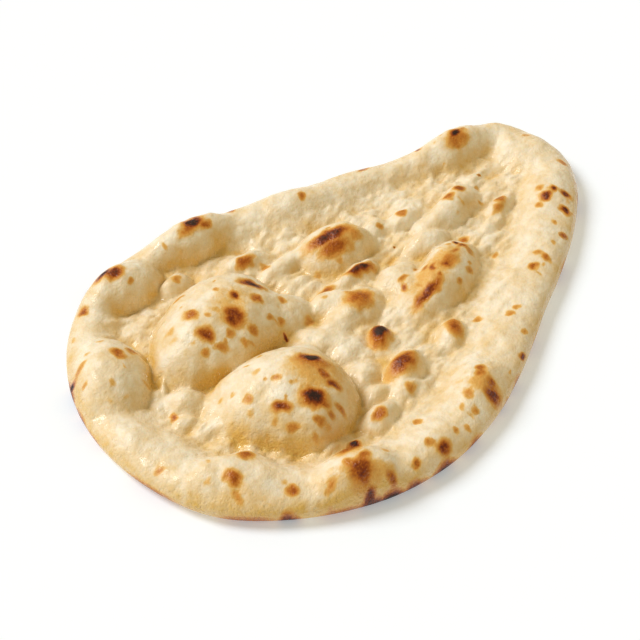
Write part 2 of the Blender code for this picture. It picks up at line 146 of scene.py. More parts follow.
# Scorch marks seen from above: where (along, across), length, width, turn in degrees, and how burnt they
# are, from 0.15 for a faint tan to 1 for black.
SCORCHES = {
    "rear rim": (
        (-0.535, 0.905, 8, 4.5, 0, 1.00), (-0.51, 0.86, 8, 6, 0, 0.70), (-0.49, 0.78, 4, 3, 0, 0.28),
        (-0.66, 0.85, 5, 4, 0, 0.46), (-0.175, 0.84, 9, 6, 0, 1.00), (-0.20, 0.82, 12, 5, 0, 0.46),
        (-0.15, 0.79, 6, 4, 0, 0.46), (-0.00, 0.84, 4, 5, 0, 0.46), (-0.75, 0.46, 5, 7, 0, 0.46),
        (-0.70, 0.46, 4, 4, 0, 0.46), (-0.86, 0.55, 9, 2.5, 0, 0.28), (-0.89, 0.46, 3, 3, 0, 0.28),
        (-0.89, 0.56, 3, 3, 0, 1.00), (-0.81, 0.58, 4, 3, 0, 0.14), (-0.74, 0.60, 4, 3, 0, 0.14),
        (-0.76, 0.76, 4, 3, 0, 0.14), (-0.77, 0.09, 3, 4, 0, 0.46),
    ),
    "rear dome": (
        (-0.39, 0.27, 30, 22, 0, 0.11), (-0.46, 0.52, 8, 2.5, 0, 0.28), (-0.59, 0.37, 5, 5, 0, 0.14),
        (-0.52, 0.34, 6, 6, 0, 0.46), (-0.39, 0.37, 3, 3, 0, 0.28), (-0.37, 0.28, 4, 5, 0, 0.70),
        (-0.28, 0.30, 5, 10, 41, 0.85), (-0.32, 0.21, 5, 5, 0, 0.46), (-0.43, 0.20, 9, 9.5, 0, 0.62),
        (-0.54, 0.22, 6, 7, 20, 0.62), (-0.58, 0.17, 2.6, 4.5, 41, 0.28), (-0.53, 0.14, 3.4, 6, 41, 0.32),
        (-0.48, 0.15, 4, 4, 0, 0.28), (-0.46, 0.09, 3, 5, 41, 0.28), (-0.41, 0.11, 4, 4.5, 41, 0.32),
        (-0.33, 0.12, 3, 3, 0, 0.28), (-0.30, 0.09, 4, 4, 0, 0.28), (-0.24, 0.17, 4, 5, 0, 0.28),
    ),
    "front dome": (
        (-0.42, -0.33, 26, 30, 0, 0.12), (-0.42, -0.26, 5, 8.5, 41, 1.00), (-0.43, -0.28, 8, 17, 41, 0.37),
        (-0.52, -0.41, 6.5, 10, 41, 0.88), (-0.51, -0.46, 2.2, 5, 41, 0.42), (-0.60, -0.33, 3.8, 7, 41, 0.66),
        (-0.44, -0.42, 4, 6, 41, 0.60), (-0.44, -0.36, 4, 6, 0, 0.46), (-0.61, -0.41, 3.2, 6, 41, 0.32),
        (-0.64, -0.18, 5, 4, 0, 0.28), (-0.55, -0.23, 4, 4, 0, 0.28), (-0.66, -0.23, 4, 4, 0, 0.14),
        (-0.66, -0.04, 3, 3, 0, 0.14), (-0.64, -0.10, 3, 3, 0, 0.14), (-0.56, -0.12, 5, 3, 0, 0.14),
        (-0.55, -0.48, 2.4, 5, 41, 0.30), (-0.51, -0.50, 2.4, 4.5, 41, 0.32),
        (-0.47, -0.50, 2.4, 4.5, 41, 0.32),
        (-0.47, -0.31, 18, 24, 0, 0.14),
    ),
    "middle": (
        (0.08, 0.29, 20, 6.5, -20, 0.75), (0.06, 0.23, 15, 7, -20, 0.48), (0.14, 0.21, 7, 6, 0, 0.28),
        (0.065, 0.075, 13, 4.5, -22, 0.78), (-0.07, 0.11, 8, 5, 0, 0.46), (-0.05, -0.07, 14, 11, 0, 0.46),
        (-0.16, 0.52, 10, 5, 0, 0.46), (-0.12, 0.44, 4, 5, 0, 0.28), (-0.36, 0.68, 5, 5, 0, 0.28),
        (-0.21, 0.03, 6, 4, 0, 0.28), (-0.31, 0.04, 1.8, 1.8, 0, 0.80), (-0.11, -0.27, 9, 7, 0, 1.00),
        (-0.12, -0.29, 5, 4, 0, 1.00), (-0.13, -0.30, 10, 8, 0, 0.46), (-0.18, -0.49, 14, 9, 0, 0.62),
        (0.055, -0.515, 11, 7.5, 50, 0.49), (-0.38, -0.61, 7, 5, 0, 0.46), (-0.23, -0.60, 6, 5, 0, 0.28),
        (0.27, 0.21, 4, 3, 0, 0.28), (0.36, 0.18, 5, 4, 0, 0.41), (0.24, 0.08, 1.2, 1.2, 0, 0.70),
        (0.18, 0.61, 4, 4, 0, 0.41), (0.45, 0.55, 6, 2.5, 0, 0.46), (0.64, 0.42, 3, 2, 0, 0.70),
    ),
    "long dome": (
        (0.19, -0.23, 44, 14, 0, 0.15), (0.10, -0.30, 18, 5, 0, 0.63), (0.23, -0.26, 12, 7, 0, 0.37),
        (0.33, -0.19, 2.5, 2.5, 0, 1.00), (0.41, -0.15, 5, 4, 0, 0.46), (0.11, -0.14, 6, 3, 0, 0.37),
        (0.34, -0.26, 4, 5, 0, 0.28), (0.21, -0.36, 4, 3, 0, 0.28), (0.27, -0.34, 4, 3, 0, 0.28),
        (0.18, -0.23, 5, 2.5, 30, 0.52), (0.22, -0.255, 4, 3, 0, 0.50), (0.17, -0.285, 3, 2.5, 0, 0.44),
        (0.18, -0.18, 4, 2.5, 20, 0.42), (0.18, -0.13, 4, 2.5, 0, 0.34), (0.335, -0.225, 6, 3, -10, 0.55),
        (0.08, -0.18, 5, 2.5, 45, 0.46), (0.29, -0.235, 6, 3, 10, 0.40),
    ),
    "narrow end": (
        (0.50, 0.06, 6, 5, 0, 0.46), (0.56, 0.06, 6, 5, 0, 0.56), (0.70, 0.10, 1.5, 1.5, 0, 0.70),
        (0.75, 0.32, 7, 4, 0, 1.00), (0.74, 0.29, 14, 8, 0, 0.35), (0.79, 0.31, 4, 3, 0, 0.28),
        (0.72, 0.27, 5, 4, 0, 0.28), (0.94, 0.07, 4, 4, 0, 0.28), (0.63, -0.12, 6, 6, 0, 0.46),
        (0.59, -0.15, 7, 4, 0, 0.28), (0.74, -0.24, 4, 4, 0, 0.28), (0.72, -0.30, 5, 5, 0, 0.70),
        (0.76, -0.30, 3.5, 4, 0, 0.80), (0.68, -0.31, 4, 4, 0, 0.28), (0.72, -0.42, 4, 5, 0, 0.84),
        (0.78, -0.36, 3, 5, 0, 0.70), (0.64, -0.44, 4, 3, 0, 0.28), (0.62, -0.52, 3, 4, 0, 0.46),
        (0.91, -0.20, 3, 5, 0, 0.37), (0.43, -0.55, 6, 4, 0, 0.46), (0.49, -0.51, 5, 4, 0, 0.28),
        (0.49, -0.56, 4, 5, 0, 0.46), (0.43, -0.33, 4, 3, 0, 0.28), (0.15, -0.54, 5, 3, 0, 0.28),
        (0.21, -0.66, 4, 4, 0, 0.28), (0.25, -0.66, 4, 3, 0, 0.28), (0.18, -0.78, 3, 3, 0, 0.28),
        (0.10, -0.86, 3, 2, 0, 0.70),
    ),
    "front and wide end rim": (
        (-0.96, -0.11, 4, 4, 0, 0.28), (-0.86, -0.41, 6, 8, 0, 0.46), (-0.77, -0.35, 7, 6, 0, 0.46),
        (-0.89, -0.47, 3, 6, 0, 0.28), (-0.77, -0.62, 5, 5, 0, 0.46), (-0.69, -0.74, 5, 5, 0, 0.28),
        (-0.50, -0.62, 4, 3.5, 0, 1.00), (-0.55, -0.66, 14, 9, 0, 0.50), (-0.62, -0.74, 4, 5, 0, 0.40),
        (-0.57, -0.76, 7, 4, 0, 0.46), (-0.60, -0.79, 6, 5, 0, 0.40), (-0.61, -0.80, 11, 9, 20, 0.58),
        (-0.63, -0.87, 7, 3, 0, 0.70), (-0.55, -0.90, 4, 5, 0, 0.46), (-0.46, -0.92, 5, 3, 0, 0.46),
        (-0.36, -0.95, 6, 5, 0, 0.70), (-0.38, -0.90, 4, 4, 0, 0.28), (-0.29, -0.93, 3, 3, 0, 0.28),
        (-0.25, -0.95, 3, 3, 0, 0.28), (-0.32, -0.76, 4, 4, 0, 0.28), (-0.16, -0.85, 5, 5, 0, 0.28),
        (-0.06, -0.80, 5, 4, 0, 0.41), (-0.10, -0.92, 7, 6, 0, 0.70), (-0.19, -0.92, 4, 4, 0, 0.28),
        (-0.10, -0.85, 13, 10, 0, 0.20), (-0.08, -0.82, 5, 4, 0, 0.37), (-0.08, -0.88, 4, 4, 0, 0.46),
        (-0.88, -0.50, 34, 13, -50, 0.08), (-0.66, -0.76, 30, 16, -30, 0.09),
        (-0.80, -0.30, 26, 12, -60, 0.06),
        (-0.96, 0.20, 30, 14, 80, 0.06), (0.81, -0.02, 12, 9, 40, 0.07), (-0.58, -0.84, 20, 9, -25, 0.16),
    ),
}

# Places that faint freckles are scattered over: where (along, across), length, width and how many.
FRECKLED_PLACES = (
    (-0.43, 0.26, 56, 42, 16), (-0.50, -0.28, 52, 44, 18), (0.20, -0.24, 44, 22, 12), (0.52, 0.03, 34, 16, 5),
    (0.06, 0.28, 30, 20, 5), (-0.62, -0.78, 50, 26, 10), (-0.11, -0.86, 44, 20, 12), (0.76, -0.34, 36, 26, 9),
    (0.42, -0.58, 76, 14, 6), (-0.80, -0.44, 36, 40, 7), (-0.80, 0.40, 30, 30, 7), (-0.18, 0.82, 40, 18, 6),
    (0.76, 0.30, 34, 20, 6), (-0.08, -0.04, 30, 24, 5),
)

# Scorched stretches of the lower edge: where (along, across), length, and how burnt they are.
EDGE_SCORCHES = (
    (-0.90, 0.56, 16, 0.95), (-0.95, 0.42, 14, 0.7), (-0.98, 0.29, 14, 0.4), (-0.99, -0.10, 30, 0.4),
    (-0.90, -0.54, 26, 0.45), (-0.81, -0.65, 9, 0.9), (-0.70, -0.82, 20, 0.45), (-0.62, -0.87, 12, 0.8),
    (-0.56, -0.90, 12, 1.0), (-0.49, -0.93, 12, 0.8), (-0.38, -0.96, 13, 0.95), (-0.25, -0.97, 12, 0.65),
    (-0.07, -0.91, 10, 0.8), (0.02, -0.91, 10, 0.6), (0.20, -0.80, 14, 0.4), (0.52, -0.61, 14, 0.55),
    (0.83, -0.38, 13, 0.65), (0.95, -0.20, 13, 0.75), (-0.53, 0.98, 18, 0.8), (-0.20, 0.97, 14, 0.7),
)


class LoafShape(bpy.types.PropertyGroup):
    """Sizes of the loaf."""

    floor_height: FloatProperty(
        name="Floor height", description="Thickness of the flat dough between the blisters",
        default=0.0065, min=0.002, unit="LENGTH",
    )
    floor_lump_height: FloatProperty(
        name="Floor lump height", description="How far the flat dough waves up and down",
        default=0.0011, min=0.0, unit="LENGTH",
    )
    crease_width: FloatProperty(
        name="Crease width", description="How widely the fold between two swellings is rounded",
        default=0.0016, min=0.0001, unit="LENGTH",
    )
    pebble_height: FloatProperty(
        name="Pebble height", description="Height of the small lumps in the flat dough",
        default=0.0034, min=0.0, unit="LENGTH",
    )


class LoafLooks(bpy.types.PropertyGroup):
    """Colours of the crust."""

    dough: FloatVectorProperty(
        name="Dough", description="Pale crust on blisters and rim",
        default=(0.96, 0.905, 0.80), size=3, min=0.0, max=1.0, subtype="COLOR",
    )
    # Golden dough, also painted as shade in folds, on steep walls and along the outer edge.
    golden: FloatVectorProperty(
        name="Golden dough", description="Dough in folds and at the feet of blisters",
        default=(0.80, 0.53, 0.15), size=3, min=0.0, max=1.0, subtype="COLOR",
    )
    tan: FloatVectorProperty(
        name="Tan", description="Faintly browned crust",
        default=(0.84, 0.55, 0.18), size=3, min=0.0, max=1.0, subtype="COLOR",
    )
    toast: FloatVectorProperty(
        name="Toast", description="Lightly browned crust",
        default=(0.68, 0.30, 0.055), size=3, min=0.0, max=1.0, subtype="COLOR",
    )
    brown: FloatVectorProperty(
        name="Brown", description="Well browned crust",
        default=(0.47, 0.135, 0.013), size=3, min=0.0, max=1.0, subtype="COLOR",
    )
    dark: FloatVectorProperty(
        name="Dark brown", description="Crust that is nearly burnt",
        default=(0.22, 0.036, 0.005), size=3, min=0.0, max=1.0, subtype="COLOR",
    )
    char: FloatVectorProperty(
        name="Char", description="Burnt crust",
        default=(0.035, 0.012, 0.009), size=3, min=0.0, max=1.0, subtype="COLOR",
    )


class StudioLooks(bpy.types.PropertyGroup):
    """The stage, its light and its camera."""

    floor: FloatVectorProperty(
        name="Floor", description="Colour of the floor",
        default=(0.76, 0.835, 0.98), size=3, min=0.0, max=1.0, subtype="COLOR",
    )
    key: FloatProperty(
        name="Key light", description="Strength of the soft main light", default=2.15, min=0.0,
    )
    sky: FloatProperty(
        name="Sky light", description="Strength of the even light from all round", default=0.46, min=0.0,
    )
    sky_colour: FloatVectorProperty(
        name="Sky colour", description="Colour of the light from all round, which warms the shadows",
        default=(1.0, 0.81, 0.44), size=3, min=0.0, max=1.0, subtype="COLOR",
    )
    floor_glow: FloatProperty(
        name="Floor glow", description="Light that the floor gives off, which keeps its shadows pale",
        default=0.30, min=0.0,
    )


def place(along, across):
    """A place given as shares of half the length and half the width."""
    return np.array((along * LENGTH / 2, across * WIDTH / 2))


def closed_curve(points, count):
    """count rows on a smooth closed curve through the rows given (a uniform Catmull-Rom spline)."""
    corners = np.array(points)
    position = np.linspace(0, len(corners), count, endpoint=False)
    first = position.astype(int)
    t = (position - first)[:, None]
    before, start, end, after = (corners[(first + step) % len(corners)] for step in (-1, 0, 1, 2))
    return 0.5 * (
        2 * start
        + (end - before) * t
        + (2 * before - 5 * start + 4 * end - after) * t**2
        + (3 * (start - end) + after - before) * t**3
    )


def evenly_spaced(loop, count):
    """count rows at equal steps along a closed loop of rows, each of which starts with x and y."""
    closed = np.vstack((loop, loop[:1]))
    travelled = np.concatenate(([0], np.cumsum(np.linalg.norm(np.diff(closed[:, :2], axis=0), axis=1))))
    wanted = np.linspace(0, travelled[-1], count, endpoint=False)
    return np.stack([np.interp(wanted, travelled, column) for column in closed.T], axis=1)


def loop_length(loop):
    """The length of a closed loop of points."""
    return float(np.linalg.norm(loop - np.roll(loop, -1, axis=0), axis=1).sum())


def inward_normals(loop):
    """The unit vectors that point into an anticlockwise loop."""
    tangent = np.roll(loop, -1, axis=0) - np.roll(loop, 1, axis=0)
    normal = np.stack((-tangent[:, 1], tangent[:, 0]), axis=1)
    return normal / np.linalg.norm(normal, axis=1, keepdims=True)


OUTLINE_SAMPLES = 1440


def loaf_edge():
    """The rows of EDGE along the whole edge, whose outline is exactly LENGTH by WIDTH, round the origin."""
    loop = closed_curve(EDGE, OUTLINE_SAMPLES)
    low, high = loop[:, :2].min(axis=0), loop[:, :2].max(axis=0)
    loop[:, :2] = (loop[:, :2] - (low + high) / 2) * (LENGTH, WIDTH) / (high - low)
    loop[:, 2:5] *= MM
    return evenly_spaced(loop, OUTLINE_SAMPLES)


def waves(points, size, seed):
    """Smooth noise from about -1 to 1, one value for each point, with lumps of the given size."""
    scaled = points / size
    return np.array([noise.noise(Vector((x, y, seed))) for x, y in scaled])


def wave_pair(points, size, seeds):
    """Two independent waves for each point, as an offset along X and Y."""
    return np.stack([waves(points, size, seed) for seed in seeds], axis=1)


def soft_max(a, b, width):
    """The larger of two heights, with the crease between them rounded over the given width."""
    overlap = np.clip(1 - np.abs(a - b) / width, 0, 1)
    return np.maximum(a, b) + overlap**2 * width / 4


def flow_together(heights, sharpness):
    """Swellings of dough that flow into one another, as heights above their common root."""
    return (np.stack(heights) ** sharpness).sum(axis=0) ** (1 / sharpness)


def smooth_step(low, high, values):
    """0 below low, 1 above high, and an S-curve between."""
    t = np.clip((values - low) / (high - low), 0, 1)
    return t * t * (3 - 2 * t)


# The rounded edge: the height of its widest line, and how far in it curves above and below that.
EDGE_HEIGHT = 0.005
EDGE_ROUND_TOP = 0.011
EDGE_ROUND_BOTTOM = 0.007

# How far below the floor all swellings start, how full the rim's steep inner wall is (less is fuller), how
# sharply its swellings keep apart, and how far stretched dough strays from a true oval, in broad and in
# small waves.
SWELLING_ROOT = 0.003
RIM_ROUNDNESS = 0.62
RIM_SHARPNESS = 4.0
WARP_SIZE = 0.022
WARP_REACH = 0.0022
WARP_SEEDS = (7.0, 11.0)
FINE_WARP_SIZE = 0.008
FINE_WARP_REACH = 0.0009
FINE_WARP_SEEDS = (8.0, 12.0)

# Waves of the floor, its pebbles (size, share, seed), and the crumples (size, height, seed), which are full
# on low dough and nearly gone on high dough. Both are drawn out along the loaf, and rise and dip about a
# level.
FLOOR_LUMP_SIZE = 0.013
FLOOR_LUMP_SEED = 5.0
PEBBLE_STRETCH = (0.6, 1.0)
PEBBLES = ((0.012, 0.95, 21.0), (0.0065, 0.68, 22.0), (0.0032, 0.26, 23.0))
PEBBLE_LEVEL = 0.38
CRUMPLE_STRETCH = (0.55, 1.0)
CRUMPLES = ((0.009, 0.0013, 24.0), (0.0045, 0.0010, 25.0), (0.0022, 0.00035, 26.0))
CRUMPLE_LEVEL = 0.2
CRUMPLED_BELOW = 0.0085
CALM_ABOVE = 0.0120
CALMNESS = 0.93

# The unevenness of all the dough (size, height, seed).
SKIN_WAVES = ((0.016, 0.0011, 31.0), (0.0065, 0.0007, 32.0), (0.0028, 0.00022, 33.0))


def oval_distance(points, along, across, length, width, turn):
    """How far each point is from the middle of an oval, as a share of its half size: 1 on its line."""
    angle = math.radians(turn)
    offset = points - place(along, across)
    u = (offset[:, 0] * math.cos(angle) + offset[:, 1] * math.sin(angle)) / (length * MM / 2)
    v = (offset[:, 1] * math.cos(angle) - offset[:, 0] * math.sin(angle)) / (width * MM / 2)
    return np.hypot(u, v)


class Loaf:
    """The form of the loaf: heights at any places on it, and what each place looks like."""

    def __init__(self, shape):
        self.shape = shape
        self.root = shape.floor_height - SWELLING_ROOT
        self.edge = loaf_edge()
        self.outline = self.edge[:, :2]
        self.tree = kdtree.KDTree(len(self.outline))
        for index, (x, y) in enumerate(self.outline):
            self.tree.insert((x, y, 0.0), index)
        self.tree.balance()

    def nearest_edge(self, points):
        """How far inside the outline each point lies, and the rim's measures at the nearest place on it."""
        found = [self.tree.find((x, y, 0.0)) for x, y in points]
        depth = np.array([distance for _, _, distance in found])
        return depth, self.edge[[index for _, index, _ in found], 2:].T

    def oval(self, points, roundness, along, across, length, width, top, turn):
        """The height of one oval dome of dough over the root of all swellings."""
        distance = oval_distance(points, along, across, length, width, turn)
        return (top * MM - self.root) * np.clip(1 - distance**2, 0, 1) ** roundness

    def blister(self, points, sharpness, roundness, ovals):
        """The height of a blister made of a few ovals that flow into one another."""
        return self.root + flow_together([self.oval(points, roundness, *oval) for oval in ovals], sharpness)

    def rim(self, warped, nearest):
        """The height of the roll of dough round the edge, with its swellings."""
        depth, (crest, inset, reach, steepness) = nearest
        inner = np.clip((depth - inset) / reach, 0, 1)
        steep = (1 - inner**2) ** RIM_ROUNDNESS
        gentle = 1 - smooth_step(0, 1, inner)
        roll = (crest - self.root) * (steepness * steep + (1 - steepness) * gentle)
        swellings = [self.oval(warped, *oval) for oval in RIM_SWELLINGS.values()]
        return self.root + flow_together([roll, *swellings], RIM_SHARPNESS)

    def pebbles(self, points):
        """Small rounded lumps with sharp valleys between them, drawn out a little along the loaf."""
        stretched = points * PEBBLE_STRETCH
        relief = sum(share * np.abs(waves(stretched, size, seed)) for size, share, seed in PEBBLES)
        return (relief - PEBBLE_LEVEL) * self.shape.pebble_height

    def crumples(self, points):
        """Fine crisp wrinkles, where the skin of the dough has dried in folds."""
        stretched = points * CRUMPLE_STRETCH
        return sum(
            height * (CRUMPLE_LEVEL - np.abs(waves(stretched, size, seed))) for size, height, seed in CRUMPLES
        )

    def skin(self, points):
        """The slight unevenness of stretched dough."""
        return sum(height * waves(points, size, seed) for size, height, seed in SKIN_WAVES)

    def top_height(self, points, nearest):
        """The height of the upper surface, before the edge rounds it off."""
        shape = self.shape
        warp = wave_pair(points, WARP_SIZE, WARP_SEEDS)
        fine = wave_pair(points, FINE_WARP_SIZE, FINE_WARP_SEEDS)
        warped = points + WARP_REACH * warp + FINE_WARP_REACH * fine
        lumps = shape.floor_lump_height * waves(points, FLOOR_LUMP_SIZE, FLOOR_LUMP_SEED)
        height = shape.floor_height + lumps + self.pebbles(points)
        height = soft_max(height, self.rim(warped, nearest), shape.crease_width)
        for blister in BLISTERS.values():
            height = soft_max(height, self.blister(warped, *blister), shape.crease_width)
        calm = smooth_step(CRUMPLED_BELOW, CALM_ABOVE, height)
        return height + self.skin(points) + self.crumples(points) * (1 - CALMNESS * calm)

    def upper_surface(self, points):
        """Points on the upper surface, which curves down to the widest line at the outline."""
        nearest = self.nearest_edge(points)
        fullness = np.sqrt(1 - (1 - np.clip(nearest[0] / EDGE_ROUND_TOP, 0, 1)) ** 2)
        height = EDGE_HEIGHT + (self.top_height(points, nearest) - EDGE_HEIGHT) * fullness
        return np.column_stack((points, height))


# Where golden painted shade goes, in folds, on steep walls and along the outer edge: the step of the grid
# that heights are read on, and how many cells from its end the last place that can be read lies; how deep a
# fold lies under the dough within a radius of it; the slopes at which a wall starts to take the painted shade
# and takes it fully; how far the painted shade on the outer edge reaches in; and what each of the three
# counts for.
RELIEF_STEP = 0.001
LAST_CELL_FROM_END = 1.001
FOLD_RADIUS = 0.006
FOLD_DEPTH = 0.0045
STEEPEST_CREAM = 0.7
STEEPEST_GOLDEN = 2.0
PAINTED_SHADE_OUTER_REACH = 0.011
FOLD_SHARE = 0.62
WALL_SHARE = 0.42
OUTER_SHARE = 0.2


def blurred(grid, radius):
    """A grid of numbers smoothed by a bell curve whose radius is counted in cells."""
    reach = 3 * radius
    weights = np.exp(-((np.arange(-reach, reach + 1) / radius) ** 2) / 2)
    weights /= weights.sum()
    for axis in (0, 1):
        padded = np.pad(grid, [(reach, reach) if side == axis else (0, 0) for side in (0, 1)], mode="edge")
        size = grid.shape[axis]
        slices = (np.take(padded, range(start, start + size), axis=axis) for start in range(2 * reach + 1))
        grid = sum(weight * part for weight, part in zip(weights, slices))
    return grid


def read_grid(grid, low, points):
    """The values of a grid at any points, each worked out from the four cells round it."""
    place_in_grid = (points - low) / RELIEF_STEP
    place_in_grid = np.clip(place_in_grid, 0, np.array(grid.shape) - LAST_CELL_FROM_END)
    corner = place_in_grid.astype(int)
    part = place_in_grid - corner
    column, row = corner.T
    right, up = part.T
    lower = grid[column, row] * (1 - right) + grid[column + 1, row] * right
    upper = grid[column, row + 1] * (1 - right) + grid[column + 1, row + 1] * right
    return lower * (1 - up) + upper * up


def painted_fold_shade(loaf, points):
    """How much golden painted shade each point takes, from 0 to 1: in folds, on steep walls and near the
    edge.
    """
    low = np.array((-LENGTH / 2, -WIDTH / 2))
    columns, rows = (int(side / RELIEF_STEP) + 2 for side in (LENGTH, WIDTH))
    across, along = np.meshgrid(np.arange(rows), np.arange(columns))
    cells = low + RELIEF_STEP * np.column_stack((along.ravel(), across.ravel()))
    heights = loaf.upper_surface(cells)[:, 2].reshape(columns, rows)
    outer = 1 - smooth_step(0, PAINTED_SHADE_OUTER_REACH, loaf.nearest_edge(cells)[0]).reshape(columns, rows)
    fold = (blurred(heights, round(FOLD_RADIUS / RELIEF_STEP)) - heights) / FOLD_DEPTH
    slope_along, slope_across = np.gradient(blurred(heights, 1), RELIEF_STEP)
    wall = smooth_step(STEEPEST_CREAM, STEEPEST_GOLDEN, np.hypot(slope_along, slope_across))
    # The share of golden painted shade, from folds, steep walls and the outer edge.
    golden = np.clip(FOLD_SHARE * fold, 0, 1) + WALL_SHARE * wall + OUTER_SHARE * outer
    return np.clip(read_grid(golden, low, points), 0, 1)


# Scorch marks: where in its oval a mark is half as burnt as in its middle, how crisp its edge is, how ragged
# its outline is, how sharply overlapping marks keep apart, and the heights that marks seen from above set
# in over.
SPOT_HALF = 0.85
SPOT_EDGE = 4
SPOT_WARP = 0.0013
SPOT_WARP_SIZE = 0.0035
SPOT_WARP_SEEDS = (41.0, 42.0)
SPOT_SHARPNESS = 3
SPOTS_FROM = (0.0008, 0.0030)

# Freckles: least and most length, width and burn.
SCATTER_SEED = 27
FRECKLE_LENGTHS = (1.5, 4.5)
FRECKLE_WIDTHS = (1.5, 4.0)
FRECKLE_BURNS = (0.05, 0.22)

# The lower edge: how burnt it is all round, how much that varies, and the heights that the scorch starts to
# fade at and fades out at. The last rises where the edge is more burnt.
EDGE_BURN = 0.12
EDGE_BURN_SPREAD = 0.1
EDGE_BURN_SEED = 53.0
EDGE_FADE_FROM = 0.0034
EDGE_FADE_TO = 0.0064
EDGE_FADE_RISE = 0.0040

# The underside: the heights it fades out over, the noise that makes its patches and the smaller ones in
# them, and how burnt its pale dough is. Tan patches and brown spots add to that, each over a range of the
# noise.
UNDERSIDE_FADE_FROM = 0.0005
UNDERSIDE_TOP = 0.0042
PATCH_LEVEL = 0.5
PATCH_SIZE = 0.011
PATCH_SEED = 51.0
SMALL_PATCH_SHARE = 0.5
SMALL_PATCH_SIZE = PATCH_SIZE / 3
SMALL_PATCH_SEED = 52.0
UNDERSIDE_PALE = 0.07
UNDERSIDE_TAN = 0.20
UNDERSIDE_TAN_FROM = (0.4, 1.0)
UNDERSIDE_BROWN = 0.22
UNDERSIDE_BROWN_FROM = (0.9, 1.4)


def spot_burn(points, along, across, length, width, turn, burn):
    """How burnt one mark makes each point: most in its middle, a third of that on its line."""
    distance = oval_distance(points, along, across, length, width, turn)
    return burn / (1 + (distance / SPOT_HALF) ** SPOT_EDGE)


def scattered_freckles():
    """Marks in the terms of SCORCHES, scattered over the places that FRECKLED_PLACES names."""
    chance = np.random.default_rng(SCATTER_SEED)
    freckles = []
    for along, across, length, width, count in FRECKLED_PLACES:
        for _ in range(count):
            reach, angle = math.sqrt(chance.random()), chance.uniform(0, 2 * math.pi)
            freckles.append((
                along + reach * math.cos(angle) * length * MM / LENGTH,
                across + reach * math.sin(angle) * width * MM / WIDTH,
                chance.uniform(*FRECKLE_LENGTHS), chance.uniform(*FRECKLE_WIDTHS), chance.uniform(0, 180),
                chance.uniform(*FRECKLE_BURNS),
            ))
    return freckles


def burn_of(points):
    """How burnt each point of the loaf is, from 0 for pale dough to 1 for char."""
    flat = points[:, :2]
    height = points[:, 2]
    warped = flat + SPOT_WARP * wave_pair(flat, SPOT_WARP_SIZE, SPOT_WARP_SEEDS)
    powers = np.zeros(len(points))
    for mark in (*sum(SCORCHES.values(), ()), *scattered_freckles()):
        powers += spot_burn(warped, *mark) ** SPOT_SHARPNESS
    top = powers ** (1 / SPOT_SHARPNESS) * smooth_step(*SPOTS_FROM, height)

    edge = EDGE_BURN + EDGE_BURN_SPREAD * waves(flat, PATCH_SIZE, EDGE_BURN_SEED)
    for along, across, length, burn in EDGE_SCORCHES:
        edge = np.maximum(edge, spot_burn(warped, along, across, length, length, 0, burn))
    edge *= 1 - smooth_step(EDGE_FADE_FROM, EDGE_FADE_TO + EDGE_FADE_RISE * edge, height)

    patches = PATCH_LEVEL + waves(flat, PATCH_SIZE, PATCH_SEED)
    patches += SMALL_PATCH_SHARE * waves(flat, SMALL_PATCH_SIZE, SMALL_PATCH_SEED)
    underside = (
        UNDERSIDE_PALE
        + UNDERSIDE_TAN * smooth_step(*UNDERSIDE_TAN_FROM, patches)
        + UNDERSIDE_BROWN * smooth_step(*UNDERSIDE_BROWN_FROM, patches)
    )
    underside *= 1 - smooth_step(UNDERSIDE_FADE_FROM, UNDERSIDE_TOP, height)
    return np.maximum.reduce((top, edge, underside))


def edge_loop(outline, reach, angle):
    """The outline moved in along a quarter ellipse of the given reach, by an angle from its widest line."""
    return outline + inward_normals(outline) * reach * (1 - math.cos(angle))


def grid_inside(outline, spacing):
    """Points in staggered rows over the inside of a closed loop."""
    low, high = outline.min(axis=0), outline.max(axis=0)
    row_step = spacing * math.sqrt(3) / 2
    rows = []
    for row, y in enumerate(np.arange(low[1], high[1], row_step)):
        start = low[0] + (row % 2) * spacing / 2
        xs = np.arange(start, high[0], spacing)
        rows.append(np.column_stack((xs, np.full(len(xs), y))))
    grid = np.vstack(rows)
    ahead = np.roll(outline, -1, axis=0)
    crossings = np.zeros(len(grid), int)
    for (x1, y1), (x2, y2) in zip(outline, ahead):
        if y1 == y2:
            continue
        first, last = np.searchsorted(grid[:, 1], (min(y1, y2), max(y1, y2)), side="right")
        rows = slice(first, last)
        crossings[rows] += grid[rows, 0] < x1 + (grid[rows, 1] - y1) * (x2 - x1) / (y2 - y1)
    return grid[crossings % 2 == 1]


# How triangles are filled in: only inside the border, and with points this near counted as one.
FILL_INSIDE = 1
SAME_POINT = 1e-7


def triangles_inside(loop, inner):
    """Triangles that fill a closed loop through the inner points, numbered loop first."""
    flat = [Vector(point) for point in np.vstack((loop, inner))]
    border = [(k, (k + 1) % len(loop)) for k in range(len(loop))]
    return np.array(delaunay_2d_cdt(flat, border, [], FILL_INSIDE, SAME_POINT)[2])


# The mesh: its spacings, the steps round the edge, and the least gap between a border and the points inside
# it, as a share of the top's spacing.
TOP_SPACING = 0.00076
UNDERSIDE_SPACING = 0.0024
TOP_EDGE_STEPS = 14
BOTTOM_EDGE_STEPS = 8
LEAST_GAP = 0.6


